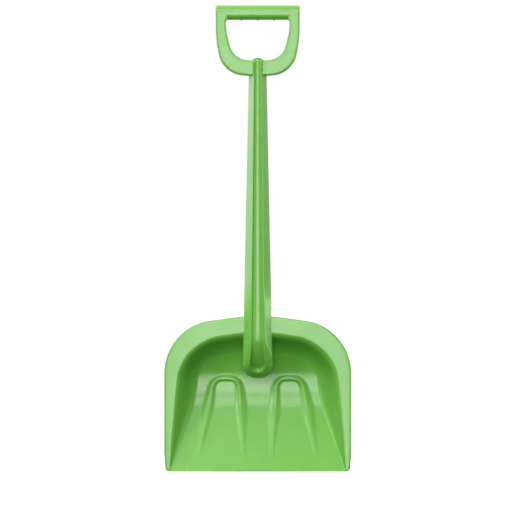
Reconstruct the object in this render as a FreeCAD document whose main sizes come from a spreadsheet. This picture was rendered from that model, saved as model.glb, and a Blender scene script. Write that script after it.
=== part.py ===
import FreeCAD, Part
import os
import re

import Sketcher

# Snow shovel: scoop blade, open-backed shaft and D-handle, joined by screws driven from behind.
# Upright, as it hangs from its grip: +Z runs up the shaft, +X to the right, and the scoop opens
# towards -Y. The sketches measure heights from the cutting edge and depths from the blade's rim
# plane; the assembly is then moved so that its origin is the middle of the grip bar.

SIZES = {
    # overall
    "overall_height": (660, "cutting edge to the top of the grip"),
    "blade_width": (265, "across the rim"),
    "blade_height": (220, "cutting edge to the crown of the rim"),
    # blade
    "wall": (2.6, "wall of the blade, also the cutting edge's thickness"),
    "corner_radius": (6, "lower corners of the rim"),
    "shoulder_radius": (75, "upper corners of the rim"),
    "crown_radius": (300, "crown of the rim"),
    "crown_slope": (8, "fall of the rim from its crown, degrees"),
    "top_flange": (31.5, "crown to the scoop's mouth"),
    "side_flange": (8, "rim to the scoop's mouth at the cutting edge"),
    "mouth_lean": (5.6, "lean of the mouth's sides, degrees"),
    "mouth_radius": (52, "upper corners of the mouth"),
    "wall_draft": (21, "draft of the scoop's walls, degrees"),
    "floor_slope": (25, "floor's angle behind the cutting edge, degrees"),
    "floor_return": (20, "floor's angle above its knee, degrees"),
    "knee_height": (120, "where the two slopes of the floor would meet"),
    "knee_radius": (120, "bend of the floor at its knee"),
    "root_radius": (12, "concave corner between floor and walls"),
    "lip_depth": (6, "turned-back lip round the rim"),
    "lip_stop": (14, "where the lip ends above the cutting edge"),
    # stiffening beads on the floor
    "bead_height": (3, "bead above the floor"),
    "bead_width": (9, "bead from foot to foot"),
    "bead_start": (14, "lower end of the beads"),
    "bead_top": (127.5, "middle line of the arch"),
    "bead_outer_foot": (84, "outer leg at its lower end"),
    "bead_inner_foot": (20, "inner leg at its lower end"),
    "bead_outer_head": (58.5, "outer leg at the arch"),
    "bead_inner_head": (34, "inner leg at the arch"),
    "bead_bend": (10, "bend between leg and arch"),
    # shaft
    "shaft_foot_height": (130.5, "tip of the shaft's nose"),
    "shaft_foot_width": (43, "back of the shaft at its foot"),
    "shaft_head_width": (24.2, "back of the shaft at its head"),
    "crest_foot_width": (20.8, "between the ridges at the foot"),
    "crest_head_width": (10.1, "between the ridges at the head"),
    "shaft_front": (11, "ridges in front of the rim plane"),
    "shaft_depth": (26.5, "ridges to the open back"),
    "shaft_wall": (2.6, "wall of the shaft"),
    "groove_depth": (3.5, "front groove between the ridges"),
    "ridge_width": (3, "ridge from its crest to the groove's floor"),
    "nose_radius": (53, "front of the nose, turning back to the floor"),
    "nose_flat": (1, "flat at the nose's tip, each side of the middle"),
    "nose_lip": (14, "end of the groove above the nose's tip"),
    "spine_width": (15, "shaft's head where it lies on the handle's bow"),
    "core_front": (12, "front of the foot's cored pockets behind the rim plane"),
    "core_rise": (16, "cored pockets above the nose's tip and below the mouth's top"),
    "web_count": (8, "cross webs inside the shaft"),
    "web_thickness": (2, "cross web"),
    "web_pitch": (36, "from one cross web to the next"),
    "web_inset": (9, "webs below the shaft's open back"),
    "first_web": (226, "lowest cross web"),
    # handle
    "handle_width": (119, "outside of the D"),
    "handle_height": (101.5, "bow's underside to the top of the grip"),
    "bar_diameter": (20.5, "grip bar, also the handle's depth"),
    "arm_width": (14.2, "side arms"),
    "bow_thickness": (22, "bow at its middle"),
    "heel_inset": (9.5, "corner of the D inside its width"),
    "heel_rise": (9, "corner of the D above the bow's underside"),
    "shoulder_rise": (46, "straight sides above the bow's underside"),
    "heel_radius": (27, "corner of the D"),
    "side_bend": (55, "bend from the straight side to the corner"),
    "hole_radius": (14, "lower corners of the hand hole"),
    "edge_round": (2, "rounded edges of the handle"),
    "hump_radius": (11.7, "hump of the bow behind the shaft's head"),
    "hump_rise": (4.8, "hump above the bow"),
    "finger_pitch": (23, "between the ridges under the grip"),
    "finger_radius": (2.6, "ridge under the grip"),
    "finger_rise": (1, "ridge below the grip"),
    "finger_length": (9, "ridge across the grip"),
    "tongue_length": (52, "handle's tongue inside the shaft"),
    "tongue_thickness": (9, "handle's tongue"),
    # fasteners and fits
    "clearance": (0.2, "between mating plastic faces"),
    "screw_radius": (2, "screw shank"),
    "screw_length": (22, "screw under its head"),
    "head_radius": (3.8, "screw head"),
    "head_height": (2.6, "screw head"),
    "recess_width": (1, "cross recess in the head"),
    "recess_depth": (1.4, "cross recess in the head"),
    "pilot_radius": (1.9, "threaded hole in a boss"),
    "shank_clearance": (0.25, "round a shank that passes through"),
    "boss_wall": (2.6, "round a counterbore"),
    "boss_end": (50.5, "back of the blade's bosses behind the rim plane"),
    "blade_screw_rise": (12.5, "lower blade screw above the nose's tip"),
    "blade_screw_pitch": (20, "between the blade screws"),
    "handle_screw_drop": (15, "upper handle screw below the bow"),
    "handle_screw_pitch": (21, "between the handle screws"),
    "handle_screw_length": (13, "handle screw under its head"),
}

doc = FreeCAD.newDocument("snow_shovel")
sheet = doc.addObject("Spreadsheet::Sheet", "dims")
for row, (alias, (number, note)) in enumerate(SIZES.items(), start=1):
    sheet.set(f"A{row}", alias)
    sheet.set(f"B{row}", str(number))
    sheet.setAlias(f"B{row}", alias)
    sheet.set(f"C{row}", note)
doc.recompute()

# Places that several pieces share, worked out from the sizes above.
PEAK = "(blade_height + crown_radius * (1 / cos(crown_slope) - 1))"
MOUTH_TOP = "(blade_height - top_flange)"
KNEE_DEPTH = "(knee_height * tan(floor_slope))"
BOW_LOW = "(overall_height - handle_height)"
BOW_HIGH = "(overall_height - handle_height + bow_thickness)"
BAR_MIDDLE = "(overall_height - bar_diameter / 2)"
SHAFT_BACK = "(shaft_depth - shaft_front)"
HANDLE_FRONT = "(shaft_depth - shaft_front - bar_diameter)"
SHAFT_TOP = "(overall_height - handle_height + bow_thickness + hump_rise - 1)"
SHAFT_RUN = f"({SHAFT_TOP} - shaft_foot_height)"
INNER_FRONT = "(groove_depth + shaft_wall - shaft_front)"
TONGUE_BACK = f"({SHAFT_BACK} - head_height)"
TONGUE_FRONT = f"({TONGUE_BACK} - tongue_thickness)"
BLADE_SCREWS = [("0", "(shaft_foot_height + blade_screw_rise)"),
                ("0", "(shaft_foot_height + blade_screw_rise + blade_screw_pitch)")]
HANDLE_SCREWS = [("0", f"({BOW_LOW} - handle_screw_drop)"),
                 ("0", f"({BOW_LOW} - handle_screw_drop - handle_screw_pitch)")]


def formula(text):
    """The expression with each size's name pointing at its cell."""
    return re.sub(r"[a-z]+(?:_[a-z]+)*", lambda m: f"dims.{m[0]}" if m[0] in SIZES else m[0], str(text))


def value(text):
    return float(sheet.evalExpression(formula(text)))


def body(name):
    return doc.addObject("PartDesign::Body", name)


def sketch_on(owner, name, role, offset="0"):
    sketch = owner.newObject("Sketcher::SketchObject", name)
    plane = next(feature for feature in owner.Origin.OriginFeatures if feature.Role == role)
    sketch.AttachmentSupport = [(plane, "")]
    sketch.MapMode = "FlatFace"
    sketch.setExpression("AttachmentOffset.Base.z", formula(offset))
    return sketch


def add_loop(sketch, points):
    """Adds a closed polygon whose corners are held by expressions."""
    first = sketch.GeometryCount
    count = len(points)
    corners = [FreeCAD.Vector(value(across), value(up), 0) for across, up in points]
    for index in range(count):
        sketch.addGeometry(Part.LineSegment(corners[index], corners[(index + 1) % count]), False)
    for index in range(count):
        following = first + (index + 1) % count
        sketch.addConstraint(Sketcher.Constraint("Coincident", first + index, 2, following, 1))
    for index, (across, up) in enumerate(points):
        for kind, text in (("DistanceX", across), ("DistanceY", up)):
            number = sketch.addConstraint(
                Sketcher.Constraint(kind, -1, 1, first + index, 1, value(text)))
            sketch.setExpression(f"Constraints[{number}]", formula(text))


def add_circle(sketch, across, up, radius):
    centre = FreeCAD.Vector(value(across), value(up), 0)
    curve = sketch.addGeometry(Part.Circle(centre, FreeCAD.Vector(0, 0, 1), value(radius)), False)
    for kind, text in (("DistanceX", across), ("DistanceY", up)):
        number = sketch.addConstraint(Sketcher.Constraint(kind, -1, 1, curve, 3, value(text)))
        sketch.setExpression(f"Constraints[{number}]", formula(text))
    number = sketch.addConstraint(Sketcher.Constraint("Radius", curve, value(radius)))
    sketch.setExpression(f"Constraints[{number}]", formula(radius))


def mirrored_loop(half, bottom=None, top=None):
    """A whole outline from its right half, which runs up, and any corners on the middle line."""
    left = [(f"-({across})", up) for across, up in reversed(half)]
    return [("0", bottom)] * bool(bottom) + half + [("0", top)] * bool(top) + left


def depth_pad(owner, name, loops, front, back, draft="0", circles=()):
    """Pads outlines seen from the front, from one depth to another, narrowing by the draft."""
    sketch = sketch_on(owner, f"{name}_outline", "XZ_Plane", f"-({front})")
    for loop in loops:
        add_loop(sketch, loop)
    for circle in circles:
        add_circle(sketch, *circle)
    pad = owner.newObject("PartDesign::Pad", name)
    pad.Profile = sketch
    pad.Reversed = True
    pad.setExpression("Length", formula(f"({back}) - ({front})"))
    pad.setExpression("TaperAngle", formula(f"-({draft})"))
    doc.recompute()
    return pad


def depth_pocket(owner, name, loops, front, back):
    """Cuts outlines seen from the front, from one depth to another."""
    before = owner.Shape.Volume
    sketch = sketch_on(owner, f"{name}_outline", "XZ_Plane", f"-({front})")
    for loop in loops:
        add_loop(sketch, loop)
    pocket = owner.newObject("PartDesign::Pocket", name)
    pocket.Profile = sketch
    pocket.Reversed = False
    pocket.setExpression("Length", formula(f"({back}) - ({front})"))
    doc.recompute()
    if owner.Shape.Volume >= before:
        raise RuntimeError(f"{name} cuts nothing")
    return pocket


def side_pad(owner, name, loop, width):
    """Pads an outline seen from the side, equally to left and right."""
    sketch = sketch_on(owner, f"{name}_outline", "YZ_Plane")
    add_loop(sketch, loop)
    pad = owner.newObject("PartDesign::Pad", name)
    pad.Profile = sketch
    pad.Midplane = True
    pad.setExpression("Length", formula(width))
    doc.recompute()
    return pad


def round_edges(owner, name, radius, wanted):
    """Rounds the edges of a body that the test picks."""
    base = owner.Tip
    names = [f"Edge{index}" for index, edge in enumerate(base.Shape.Edges, 1) if wanted(edge)]
    if not names:
        raise RuntimeError(f"{name} finds no edges")
    fillet = owner.newObject("PartDesign::Fillet", name)
    fillet.Base = (base, names)
    fillet.setExpression("Radius", formula(radius))
    doc.recompute()
    return fillet


def at_spots(spots, radius):
    return [(across, up, radius) for across, up in spots]


def runs_along(edge, axis):
    ends = [vertex.Point for vertex in edge.Vertexes]
    if len(ends) != 2:
        return False
    run = ends[1] - ends[0]
    return abs(run.dot(axis)) > 0.999 * run.Length


def near(number, text):
    return abs(number - value(text)) < 0.05


ALONG_X = FreeCAD.Vector(1, 0, 0)
ALONG_Y = FreeCAD.Vector(0, 1, 0)


def combine(kind, name, base, tool):
    """Part::Cut or Part::Common of two objects."""
    result = doc.addObject(f"Part::{kind}", name)
    result.Base = base
    result.Tool = tool
    doc.recompute()
    return result


def fuse(name, pieces):
    result = doc.addObject("Part::MultiFuse", name)
    result.Shapes = pieces
    result.Refine = True
    doc.recompute()
    return result


# ---- blade ----------------------------------------------------------------------------------

def rim_outline(inset="0"):
    """Outline of the rim: straight sides, wide shoulders and a low crown."""
    half = f"(blade_width / 2 - {inset})"
    peak = f"({PEAK} - {inset})"
    return mirrored_loop([(half, "0"), (half, f"{peak} - {half} * tan(crown_slope)")], top=peak)


def rim_plate(name, front, back, inset="0"):
    plate = body(name)
    depth_pad(plate, f"{name}_pad", [rim_outline(inset)], front, back)
    crown = value(f"{PEAK} - {inset}")
    round_edges(plate, f"{name}_crown", f"crown_radius - {inset}",
                lambda e: runs_along(e, ALONG_Y) and abs(e.CenterOfMass.z - crown) < 0.1)
    round_edges(plate, f"{name}_shoulders", f"shoulder_radius - {inset}",
                lambda e: runs_along(e, ALONG_Y) and e.CenterOfMass.z > value("blade_height / 2")
                and abs(e.CenterOfMass.x) > value("blade_width / 4"))
    round_edges(plate, f"{name}_corners", f"corner_radius - {inset}",
                lambda e: runs_along(e, ALONG_Y) and e.CenterOfMass.z < 1)
    return plate


def scoop_space(name, grow):
    """The space in front of the floor and inside the walls, grown outwards all round."""
    base_half = f"(blade_width / 2 - side_flange + {grow})"
    top = f"({MOUTH_TOP} + {grow})"
    space = body(name)
    depth_pad(space, f"{name}_mouth", [mirrored_loop([
        (base_half, "0"), (f"{base_half} - {top} * tan(mouth_lean)", top)])],
        "0", KNEE_DEPTH, "wall_draft")
    round_edges(space, f"{name}_mouth_corners", f"mouth_radius + {grow}",
                lambda e: len(e.Vertexes) == 2 and e.CenterOfMass.z > value("blade_height / 2")
                and abs(e.Vertexes[0].Y - e.Vertexes[1].Y) > value("wall"))
    both = space.newObject("PartDesign::Boolean", f"{name}_in_front_of_floor")
    both.Type = "Common"
    both.setObjects([floor_space(f"{name}_floor", grow)])
    doc.recompute()
    round_edges(space, f"{name}_root", "root_radius", lambda e: is_root(space.Tip.Shape, e))
    return space


def is_root(shape, edge):
    """Whether an edge lies between the floor and a wall, clear of the cutting edge."""
    middle = edge.CenterOfMass
    if edge.BoundBox.YMin < -value("wall") or middle.y < value("wall"):
        return False
    if abs(middle.x) < 1 and middle.z < value("lip_stop"):
        return False
    floors = 0
    for face in shape.ancestorsOfType(edge, Part.Face):
        u_low, u_high, v_low, v_high = face.ParameterRange
        normal = face.normalAt((u_low + u_high) / 2, (v_low + v_high) / 2)
        floors += abs(normal.x) < 1e-6 and normal.y > 0.5 and face.CenterOfMass.y > value("wall")
    return floors == 1


def floor_space(name, shift):
    """Everything in front of the floor, seen from the side; the knee is a wide bend."""
    floor = body(name)
    top = "(blade_height + knee_radius / 4)"
    side_pad(floor, f"{name}_pad", [
        (shift, "0"),
        (f"{KNEE_DEPTH} + {shift}", "knee_height"),
        (f"{KNEE_DEPTH} + {shift} - ({top} - knee_height) * tan(floor_return)", top),
        ("-knee_height", top),
        ("-knee_height", "0")], "2 * blade_width")
    round_edges(floor, f"{name}_knee", f"knee_radius + {shift}",
                lambda e: runs_along(e, ALONG_X) and near(e.CenterOfMass.z, "knee_height"))
    return floor


def bead(side):
    """An inverted U that stiffens one half of the floor."""
    name = "right" if side > 0 else "left"
    half = "bead_width / 2"
    outer = [("bead_outer_foot + " + half, "bead_start"),
             ("bead_outer_head + " + half, "bead_top + " + half),
             ("bead_inner_head - " + half, "bead_top + " + half),
             ("bead_inner_foot - " + half, "bead_start")]
    inner = [("bead_inner_foot + " + half, "bead_start"),
             ("bead_inner_head + " + half, "bead_top - " + half),
             ("bead_outer_head - " + half, "bead_top - " + half),
             ("bead_outer_foot - " + half, "bead_start")]
    band = body(f"{name}_bead_band")
    points = [(f"{side} * ({across})", up) for across, up in outer + inner]
    depth_pad(band, f"{name}_bead_band_pad", [points], "0", KNEE_DEPTH)
    round_edges(band, f"{name}_bead_bends", "bead_bend",
                lambda e: runs_along(e, ALONG_Y) and near(e.CenterOfMass.z, "bead_top + " + half))
    return band


def blade():
    plate = rim_plate("rim_plate", "0", "wall")
    lip_ring = combine("Cut", "lip_ring", rim_plate("lip_outside", "0", "lip_depth"),
                       rim_plate("lip_inside", "-wall", "lip_depth + wall", "wall"))
    low = body("below_lip")
    depth_pad(low, "below_lip_pad", [mirrored_loop([
        ("blade_width", "-lip_stop"), ("blade_width", "lip_stop")])], "-wall", "lip_depth + wall")
    lip = combine("Cut", "rim_lip", lip_ring, low)

    bosses = body("blade_bosses")
    depth_pad(bosses, "blade_boss_pad", [], "wall", "boss_end",
              circles=at_spots(BLADE_SCREWS, "head_radius + shank_clearance + boss_wall"))

    outside = scoop_space("outside", "wall")
    inside = scoop_space("inside", "0")
    shell = combine("Cut", "blade_shell", fuse("blade_stock", [plate, lip, outside, bosses]), inside)

    above_beads = floor_space("above_beads", "-bead_height")
    beads = combine("Cut", "bead_stock", fuse("bead_bands", [bead(1), bead(-1)]), above_beads)
    beads = combine("Common", "beads", beads, outside)
    beaded = fuse("beaded_blade", [shell, beads])

    seats = body("blade_screw_seats")
    depth_pad(seats, "blade_seat_pad", [], "boss_end - head_height", "boss_end + wall",
              circles=at_spots(BLADE_SCREWS, "head_radius + shank_clearance"))
    shanks = body("blade_screw_ways")
    depth_pad(shanks, "blade_way_pad", [], "0", "boss_end",
              circles=at_spots(BLADE_SCREWS, "screw_radius + shank_clearance"))
    drilled = combine("Cut", "drilled_blade", beaded, fuse("blade_screw_tools", [seats, shanks]))
    notch = shaft_bar("shaft_notch", "clearance")
    return combine("Cut", "blade", drilled, notch)


# ---- shaft ----------------------------------------------------------------------------------

def shaft_half(width, up):
    """Half the shaft's back, or half the space between its ridges, at a height."""
    taper = f"({width}_foot_width - {width}_head_width) / {SHAFT_RUN}"
    return f"({width}_foot_width - ({up} - shaft_foot_height) * {taper}) / 2"


def shaft_bar(name, grow="0"):
    """The shaft's straight bar: narrow ridges in front, wide at its open back."""
    bar = body(name)
    sections = []
    for label, up in (("foot", "shaft_foot_height"), ("head", SHAFT_TOP)):
        section = sketch_on(bar, f"{name}_{label}", "XY_Plane", up)
        add_loop(section, [
            (f"-({shaft_half('shaft', up)} + {grow})", f"{SHAFT_BACK} + {grow}"),
            (f"-({shaft_half('crest', up)} + {grow})", f"-shaft_front - {grow}"),
            (f"{shaft_half('crest', up)} + {grow}", f"-shaft_front - {grow}"),
            (f"{shaft_half('shaft', up)} + {grow}", f"{SHAFT_BACK} + {grow}")])
        sections.append(section)
    loft = bar.newObject("PartDesign::AdditiveLoft", f"{name}_loft")
    loft.Profile = sections[0]
    loft.Sections = [sections[1]]
    loft.Ruled = True
    doc.recompute()
    return bar


def shaft_hollow():
    """The space inside the bar, open at the back, from the blade up to the bow."""
    hollow = body("shaft_hollow")
    low = f"({MOUTH_TOP} + wall)"
    sections = []
    for label, up in (("low", low), ("high", BOW_LOW)):
        back_half = f"({shaft_half('shaft', up)} - shaft_wall)"
        crest_half = f"({shaft_half('crest', up)} - shaft_wall)"
        front_share = f"(({SHAFT_BACK} - {INNER_FRONT}) / shaft_depth)"
        front_half = f"({back_half} - ({back_half} - {crest_half}) * {front_share})"
        section = sketch_on(hollow, f"hollow_{label}", "XY_Plane", up)
        add_loop(section, [
            (f"-{back_half}", SHAFT_BACK), (f"-{front_half}", INNER_FRONT),
            (front_half, INNER_FRONT), (back_half, SHAFT_BACK)])
        sections.append(section)
    loft = hollow.newObject("PartDesign::AdditiveLoft", "hollow_loft")
    loft.Profile = sections[0]
    loft.Sections = [sections[1]]
    loft.Ruled = True
    doc.recompute()
    return hollow


def nose_side(name, shift="0"):
    """The shaft seen from the side: straight ridges that turn back at the nose."""
    side = body(name)
    side_pad(side, f"{name}_pad", [
        (f"{shift} - shaft_front", f"shaft_foot_height + {shift}"),
        (f"2 * {KNEE_DEPTH}", f"shaft_foot_height + {shift}"),
        (f"2 * {KNEE_DEPTH}", SHAFT_TOP),
        (f"{shift} - shaft_front", SHAFT_TOP)], "2 * shaft_foot_width")
    round_edges(side, f"{name}_turn", "nose_radius",
                lambda e: runs_along(e, ALONG_X) and e.CenterOfMass.y < 0
                and near(e.CenterOfMass.z, f"shaft_foot_height + {shift}"))
    return side


def shaft_plan():
    """The shaft seen from the front: tapered, with a round nose and a round head."""
    plan = body("shaft_plan")
    shoulder = f"({BOW_LOW} - clearance)"
    depth_pad(plan, "shaft_plan_pad", [mirrored_loop([
        (shaft_half("shaft", "shaft_foot_height"), "shaft_foot_height"),
        (shaft_half("shaft", shoulder), shoulder),
        ("spine_width / 2", shoulder), ("spine_width / 2", SHAFT_TOP)])],
        "-shaft_front", f"2 * {KNEE_DEPTH}")
    round_edges(plan, "nose_in_plan", "shaft_foot_width / 2 - nose_flat",
                lambda e: runs_along(e, ALONG_Y) and near(e.CenterOfMass.z, "shaft_foot_height"))
    round_edges(plan, "head_in_plan", "spine_width / 2 - clearance",
                lambda e: runs_along(e, ALONG_Y) and near(e.CenterOfMass.z, SHAFT_TOP))
    return plan


def groove():
    """The front groove, which follows the nose's turn at a constant depth."""
    slot = body("groove_slot")
    low = "(shaft_foot_height + nose_lip)"
    depth_pad(slot, "groove_slot_pad", [mirrored_loop([
        (f"{shaft_half('crest', low)} - ridge_width", low),
        (f"{shaft_half('crest', SHAFT_TOP)} - ridge_width", f"{SHAFT_TOP} + wall")])],
        "-shaft_front - wall", f"2 * {KNEE_DEPTH}")
    round_edges(slot, "groove_end", f"{shaft_half('crest', low)} - ridge_width - clearance",
                lambda e: runs_along(e, ALONG_Y) and near(e.CenterOfMass.z, low))
    return combine("Cut", "groove_tool", slot, nose_side("groove_floor", "groove_depth"))


def foot_core():
    """Two pockets that thin the foot from behind, beside the web that takes the screws."""
    core = body("foot_core")
    inner = "(pilot_radius + boss_wall)"
    outer = f"({shaft_half('shaft', 'shaft_foot_height')} - 2 * shaft_wall)"
    low = "(shaft_foot_height + core_rise)"
    high = f"({MOUTH_TOP} - core_rise)"
    loops = [[(f"{side} * {inner}", low), (f"{side} * {outer}", low),
              (f"{side} * {outer}", high), (f"{side} * {inner}", high)] for side in (1, -1)]
    depth_pad(core, "foot_core_pad", loops, "core_front", f"2 * {KNEE_DEPTH}")
    return core


def shaft():
    bar = shaft_bar("shaft_bar")
    block = body("foot_block")
    depth_pad(block, "foot_block_pad", [mirrored_loop([
        ("shaft_foot_width / 2", "shaft_foot_height"), ("shaft_foot_width / 2", MOUTH_TOP)])],
        "0", f"2 * {KNEE_DEPTH}")
    foot = combine("Common", "shaft_foot", block, scoop_space("seated", "-clearance"))
    stock = fuse("shaft_stock", [bar, foot])
    outside = combine("Common", "shaft_in_plan", stock, shaft_plan())
    outside = combine("Common", "shaft_outside", outside, nose_side("shaft_side"))

    cored = combine("Cut", "cored_shaft", outside, shaft_hollow())
    cored = combine("Cut", "grooved_shaft", cored, groove())

    cored = combine("Cut", "cored_foot", cored, foot_core())

    bow_way = body("bow_way")
    depth_pad(bow_way, "bow_way_pad", [mirrored_loop([
        ("shaft_foot_width", f"{BOW_LOW} - clearance"), ("shaft_foot_width", "overall_height")])],
        f"{HANDLE_FRONT} - clearance", f"{SHAFT_BACK} + wall")
    headed = combine("Cut", "headed_shaft", cored, bow_way)

    webs = body("cross_webs")
    web_half = "shaft_foot_width / 2"
    depth_pad(webs, "cross_web", [mirrored_loop([
        (web_half, "first_web"), (web_half, "first_web + web_thickness")])],
        f"{INNER_FRONT} - clearance", f"{SHAFT_BACK} - web_inset")
    pattern = webs.newObject("PartDesign::LinearPattern", "cross_web_row")
    pattern.Originals = [doc.cross_web]
    pattern.Direction = (next(f for f in webs.Origin.OriginFeatures if f.Role == "Z_Axis"), [""])
    pattern.Mode = "Spacing"
    pattern.setExpression("Offset", formula("web_pitch"))
    pattern.setExpression("Occurrences", formula("web_count"))
    webs.Tip = pattern
    doc.recompute()
    webs_inside = combine("Common", "webs_inside", webs, shaft_bar("web_limit", "-clearance"))

    bosses = body("head_bosses")
    depth_pad(bosses, "head_boss_pad", [], f"{INNER_FRONT} - clearance", f"{TONGUE_FRONT} - clearance",
              circles=at_spots(HANDLE_SCREWS, "pilot_radius + boss_wall"))
    whole = fuse("whole_shaft", [headed, webs_inside, bosses])

    pilots = body("head_pilots")
    depth_pad(pilots, "head_pilot_pad", [], f"{TONGUE_BACK} - handle_screw_length - clearance",
              SHAFT_BACK, circles=at_spots(HANDLE_SCREWS, "pilot_radius"))
    foot_pilots = body("foot_pilots")
    depth_pad(foot_pilots, "foot_pilot_pad", [],
              "boss_end - head_height - screw_length - 2 * clearance", "boss_end",
              circles=at_spots(BLADE_SCREWS, "pilot_radius"))
    return combine("Cut", "shaft", whole, fuse("shaft_pilots", [pilots, foot_pilots]))


# ---- handle ---------------------------------------------------------------------------------

def d_handle():
    handle = body("handle_body")
    half = "handle_width / 2"
    outline = mirrored_loop([
        (f"{half} - heel_inset", f"{BOW_LOW} + heel_rise"),
        (half, f"{BOW_LOW} + shoulder_rise"), (half, BAR_MIDDLE)], bottom=BOW_LOW)
    depth_pad(handle, "handle_stock", [outline], HANDLE_FRONT, SHAFT_BACK)
    round_edges(handle, "handle_heels", "heel_radius",
                lambda e: runs_along(e, ALONG_Y) and near(e.CenterOfMass.z, f"{BOW_LOW} + heel_rise"))
    round_edges(handle, "handle_sides", "side_bend",
                lambda e: runs_along(e, ALONG_Y)
                and near(e.CenterOfMass.z, f"{BOW_LOW} + shoulder_rise"))

    inner_half = f"{half} - arm_width"
    hole = mirrored_loop([
        (f"{inner_half} - heel_inset", f"{BOW_HIGH} + heel_rise / 2"),
        (inner_half, f"{BOW_LOW} + shoulder_rise + arm_width"),
        (inner_half, "overall_height - bar_diameter")], bottom=BOW_HIGH)
    hand_hole = body("hand_hole")
    depth_pad(hand_hole, "hand_hole_pad", [hole], f"{HANDLE_FRONT} - wall", f"{SHAFT_BACK} + wall")
    round_edges(hand_hole, "hand_hole_corners", "hole_radius",
                lambda e: runs_along(e, ALONG_Y)
                and near(e.CenterOfMass.z, f"{BOW_HIGH} + heel_rise / 2"))
    round_edges(hand_hole, "hand_hole_sides", "side_bend",
                lambda e: runs_along(e, ALONG_Y)
                and near(e.CenterOfMass.z, f"{BOW_LOW} + shoulder_rise + arm_width"))
    ring = combine("Cut", "handle_ring", handle, hand_hole)

    bar = body("grip_bar")
    section = sketch_on(bar, "grip_section", "YZ_Plane")
    add_circle(section, f"{SHAFT_BACK} - bar_diameter / 2", BAR_MIDDLE, "bar_diameter / 2")
    pad = bar.newObject("PartDesign::Pad", "grip_pad")
    pad.Profile = section
    pad.Midplane = True
    pad.setExpression("Length", formula("handle_width"))
    doc.recompute()
    round_edges(bar, "grip_ends", "edge_round", lambda e: len(e.Vertexes) == 1)

    fingers = body("finger_ridges")
    depth_pad(fingers, "finger_ridge", [],
              f"{SHAFT_BACK} - bar_diameter / 2 - finger_length / 2",
              f"{SHAFT_BACK} - bar_diameter / 2 + finger_length / 2",
              circles=[("-finger_pitch", "overall_height - bar_diameter - finger_rise + finger_radius",
                        "finger_radius")])
    pattern = fingers.newObject("PartDesign::LinearPattern", "finger_ridge_row")
    pattern.Originals = [doc.finger_ridge]
    pattern.Direction = (next(f for f in fingers.Origin.OriginFeatures if f.Role == "X_Axis"), [""])
    pattern.Mode = "Spacing"
    pattern.setExpression("Offset", formula("finger_pitch"))
    pattern.Occurrences = 3
    fingers.Tip = pattern
    doc.recompute()

    hump = body("bow_hump")
    depth_pad(hump, "bow_hump_pad", [], HANDLE_FRONT, SHAFT_BACK,
              circles=[("0", f"{BOW_HIGH} + hump_rise - hump_radius", "hump_radius")])

    tongue = body("tongue")
    tongue_low = f"({BOW_LOW} - tongue_length)"
    front_share = f"(({SHAFT_BACK} - {TONGUE_FRONT}) / shaft_depth)"
    points = []
    for up in (tongue_low, BOW_LOW):
        back_half = f"({shaft_half('shaft', up)} - shaft_wall)"
        crest_half = f"({shaft_half('crest', up)} - shaft_wall)"
        room = f"({back_half} - ({back_half} - {crest_half}) * {front_share} - 2 * clearance)"
        points.append((room, up))
    points[1] = (points[1][0], f"{BOW_LOW} + bow_thickness / 2")
    depth_pad(tongue, "tongue_pad", [mirrored_loop(points)], TONGUE_FRONT, TONGUE_BACK)

    whole = fuse("whole_handle", [ring, bar, fingers, hump, tongue])
    ways = body("handle_screw_ways")
    depth_pad(ways, "handle_way_pad", [], f"{TONGUE_FRONT} - wall", SHAFT_BACK,
              circles=at_spots(HANDLE_SCREWS, "screw_radius + shank_clearance"))
    return combine("Cut", "d_handle", whole, ways)


# ---- fasteners ------------------------------------------------------------------------------

def screw(name, length, spot, seat):
    """A pan-head screw lying along Y, its head towards the back."""
    fastener = body(name)
    up = spot[1]
    depth_pad(fastener, f"{name}_shank", [], f"{seat} - {length}", seat,
              circles=at_spots([spot], "screw_radius"))
    round_edges(fastener, f"{name}_point", "screw_radius * 0.8",
                lambda e: len(e.Vertexes) == 1 and near(e.CenterOfMass.y, f"{seat} - {length}"))
    depth_pad(fastener, f"{name}_head", [], seat, f"{seat} + head_height",
              circles=at_spots([spot], "head_radius"))
    round_edges(fastener, f"{name}_pan", "head_height * 0.5",
                lambda e: len(e.Vertexes) == 1 and near(e.CenterOfMass.y, f"{seat} + head_height"))
    arm = "head_radius * 0.55"
    slots = {"level": (arm, "recess_width / 2"), "upright": ("recess_width / 2", arm)}
    for label, (across, high) in slots.items():
        depth_pocket(fastener, f"{name}_{label}", [mirrored_loop([
            (across, f"{up} - {high}"), (across, f"{up} + {high}")])],
            f"{seat} + head_height - recess_depth", f"{seat} + head_height + wall")
    return fastener


def screw_group(name, length, spots, seat):
    group = doc.addObject("Part::Compound", name)
    group.Links = [screw(f"{name}_{label}", length, spot, seat)
                   for label, spot in zip(("low", "high"), spots)]
    doc.recompute()
    return group


# ---- assembly -------------------------------------------------------------------------------

def main():
    nodes = {
        "blade": blade(),
        "shaft": shaft(),
        "d_handle": d_handle(),
        "blade_screws": screw_group("blade_screws", "screw_length", BLADE_SCREWS,
                                    "(boss_end - head_height)"),
        "handle_screws": screw_group("handle_screws", "handle_screw_length", HANDLE_SCREWS,
                                     TONGUE_BACK),
    }
    for label, node in nodes.items():
        node.Label = label
        node.setExpression("Placement.Base.y", formula(f"bar_diameter / 2 - {SHAFT_BACK}"))
        node.setExpression("Placement.Base.z", formula(f"-{BAR_MIDDLE}"))
    doc.recompute()

    failed = [item.Name for item in doc.Objects if {"Invalid", "Error"} & set(item.State)]
    failed += [label for label, node in nodes.items() if node.Shape.isNull() or not node.Shape.isValid()]
    if failed:
        raise RuntimeError(f"did not build: {failed}")

    os.makedirs("parts", exist_ok=True)
    for label, node in nodes.items():
        node.Shape.exportStep(f"parts/{label}.step")
        print(label, len(node.Shape.Solids), round(node.Shape.Volume), node.Shape.BoundBox)


main()
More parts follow.
